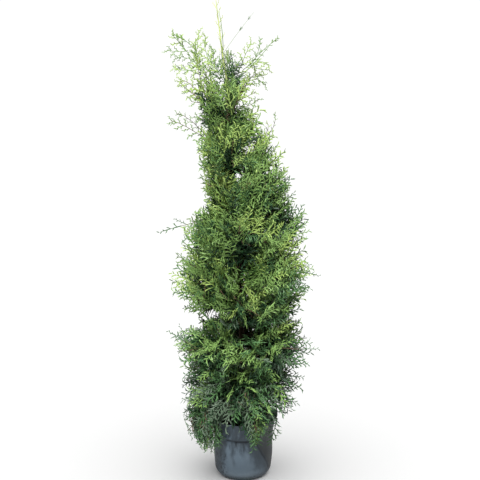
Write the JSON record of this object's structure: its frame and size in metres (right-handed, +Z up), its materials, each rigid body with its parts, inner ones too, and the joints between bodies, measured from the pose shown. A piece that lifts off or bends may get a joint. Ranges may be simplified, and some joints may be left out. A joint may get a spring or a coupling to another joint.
{
  "type": "potted thuja",
  "caption": "Slender, slightly leaning hedging conifer with dense flat sprays of green scale foliage and a thin leader, in a soft dark nursery pot.",
  "frame": {"origin": "centre of the pot's flat underside, on the surface that the pot stands on", "axes": "+Z up along the plant, -Y towards the front of the plant, +X to the right seen from the front"},
  "size_m": [0.635, 0.5403, 1.8542],
  "materials": {
    "pot": "thin black-grey nursery plastic, slightly dusty, with soft folds",
    "soil": "dark crumbly potting compost",
    "trunk_bark": "thin fibrous red-brown bark in upright strips",
    "bough_bark": "smooth brown bark of young limbs",
    "foliage_top": "fresh yellow-green scale foliage, soft satin",
    "foliage_upper": "mid-green scale foliage, soft satin",
    "foliage_middle": "green scale foliage with dark recesses, soft satin",
    "foliage_lower": "dull blue-green scale foliage, soft satin"
  },
  "bodies": {
    "root": {"bough_02_back": "bough_bark", "bough_02_front": "bough_bark", "bough_02_left": "bough_bark", "bough_03_back": "bough_bark", "bough_03_front": "bough_bark", "bough_03_left": "bough_bark", "bough_03_right": "bough_bark", "bough_04_back": "bough_bark", "bough_04_left_front": "bough_bark", "bough_04_right_front": "bough_bark", "bough_05_back": "bough_bark", "bough_05_front": "bough_bark", "bough_05_left": "bough_bark", "bough_05_right": "bough_bark", "bough_06_back": "bough_bark", "bough_06_left_front": "bough_bark", "bough_06_right_front": "bough_bark", "bough_07_front": "bough_bark", "bough_07_left_back": "bough_bark", "bough_07_right_back": "bough_bark", "bough_08_back": "bough_bark", "bough_08_left_front": "bough_bark", "bough_08_right_front": "bough_bark", "foliage_02_back": "foliage_lower", "foliage_02_front": "foliage_lower", "foliage_02_left": "foliage_lower", "foliage_03_back": "foliage_lower", "foliage_03_front": "foliage_lower", "foliage_03_left": "foliage_lower", "foliage_03_right": "foliage_lower", "foliage_04_back": "foliage_lower", "foliage_04_left_front": "foliage_lower", "foliage_04_right_front": "foliage_lower", "foliage_05_back": "foliage_middle", "foliage_05_front": "foliage_middle", "foliage_05_left": "foliage_middle", "foliage_05_right": "foliage_middle", "foliage_06_back": "foliage_middle", "foliage_06_left_front": "foliage_middle", "foliage_06_right_front": "foliage_middle", "foliage_07_front": "foliage_middle", "foliage_07_left_back": "foliage_middle", "foliage_07_right_back": "foliage_middle", "foliage_08_back": "foliage_upper", "foliage_08_left_front": "foliage_upper", "foliage_08_right_front": "foliage_upper", "foliage_09_front": "foliage_upper", "foliage_09_left_back": "foliage_upper", "foliage_09_right_back": "foliage_upper", "foliage_10_left": "foliage_upper", "foliage_10_right_back": "foliage_upper", "foliage_10_right_front": "foliage_upper", "foliage_11_back": "foliage_top", "foliage_11_front": "foliage_top", "foliage_11_left": "foliage_top", "foliage_11_right": "foliage_top", "foliage_12_leader": "foliage_top", "pot": "pot", "soil": "soil", "trunk": "trunk_bark"}
  },
  "joints": []
}
